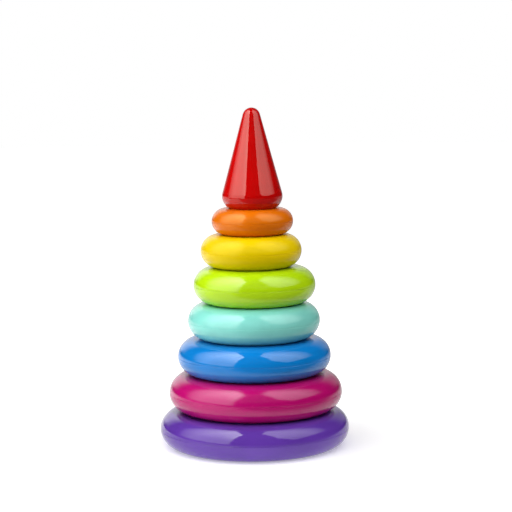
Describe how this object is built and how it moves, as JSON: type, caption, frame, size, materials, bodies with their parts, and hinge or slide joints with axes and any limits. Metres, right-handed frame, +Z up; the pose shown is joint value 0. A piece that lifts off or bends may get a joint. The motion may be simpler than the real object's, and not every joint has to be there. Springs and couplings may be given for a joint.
{
  "type": "stacking ring toy",
  "caption": "Stacking toy: a round base with a fixed post, loose hollow rings of falling size in bright colours, and a cone cap on top.",
  "frame": {"origin": "centre of the base's flat underside, on the post's axis", "axes": "+Z up along the post; the base and the post are round about it, so +X and +Y are free, and the rings' small sideways play lies along X"},
  "size_m": [0.141, 0.141, 0.2515],
  "materials": {
    "base_purple": "glossy injection-moulded plastic, coloured through",
    "ring_1_magenta": "glossy injection-moulded plastic, coloured through",
    "ring_2_blue": "glossy injection-moulded plastic, coloured through",
    "ring_3_mint": "glossy injection-moulded plastic, coloured through",
    "ring_4_lime": "glossy injection-moulded plastic, coloured through",
    "ring_5_yellow": "glossy injection-moulded plastic, coloured through",
    "ring_6_orange": "glossy injection-moulded plastic, coloured through",
    "cone_red": "glossy injection-moulded plastic, coloured through",
    "post_natural": "natural off-white moulded plastic, satin"
  },
  "bodies": {
    "base": {"base_lower_shell": "base_purple", "base_upper_shell": "base_purple", "post": "post_natural"},
    "ring_1": {"ring_1_lower_shell": "ring_1_magenta", "ring_1_upper_shell": "ring_1_magenta"},
    "ring_2": {"ring_2_lower_shell": "ring_2_blue", "ring_2_upper_shell": "ring_2_blue"},
    "ring_3": {"ring_3_lower_shell": "ring_3_mint", "ring_3_upper_shell": "ring_3_mint"},
    "ring_4": {"ring_4_lower_shell": "ring_4_lime", "ring_4_upper_shell": "ring_4_lime"},
    "ring_5": {"ring_5_lower_shell": "ring_5_yellow", "ring_5_upper_shell": "ring_5_yellow"},
    "ring_6": {"ring_6_lower_shell": "ring_6_orange", "ring_6_upper_shell": "ring_6_orange"},
    "cone_cap": {"cone_shell": "cone_red", "cone_socket_plug": "cone_red"}
  },
  "joints": [
    {"name": "ring_1_lift", "type": "slide", "parent": "base", "child": "ring_1", "axis": [0, 0, 1], "range_m": [0, 0.193]},
    {"name": "ring_2_lift", "type": "slide", "parent": "ring_1", "child": "ring_2", "axis": [0, 0, 1], "range_m": [0, 0.166]},
    {"name": "ring_3_lift", "type": "slide", "parent": "ring_2", "child": "ring_3", "axis": [0, 0, 1], "range_m": [0, 0.139]},
    {"name": "ring_4_lift", "type": "slide", "parent": "ring_3", "child": "ring_4", "axis": [0, 0, 1], "range_m": [0, 0.113]},
    {"name": "ring_5_lift", "type": "slide", "parent": "ring_4", "child": "ring_5", "axis": [0, 0, 1], "range_m": [0, 0.086]},
    {"name": "ring_6_lift", "type": "slide", "parent": "ring_5", "child": "ring_6", "axis": [0, 0, 1], "range_m": [0, 0.062]},
    {"name": "cone_cap_lift", "type": "slide", "parent": "ring_6", "child": "cone_cap", "axis": [0, 0, 1], "range_m": [0, 0.042]}
  ]
}
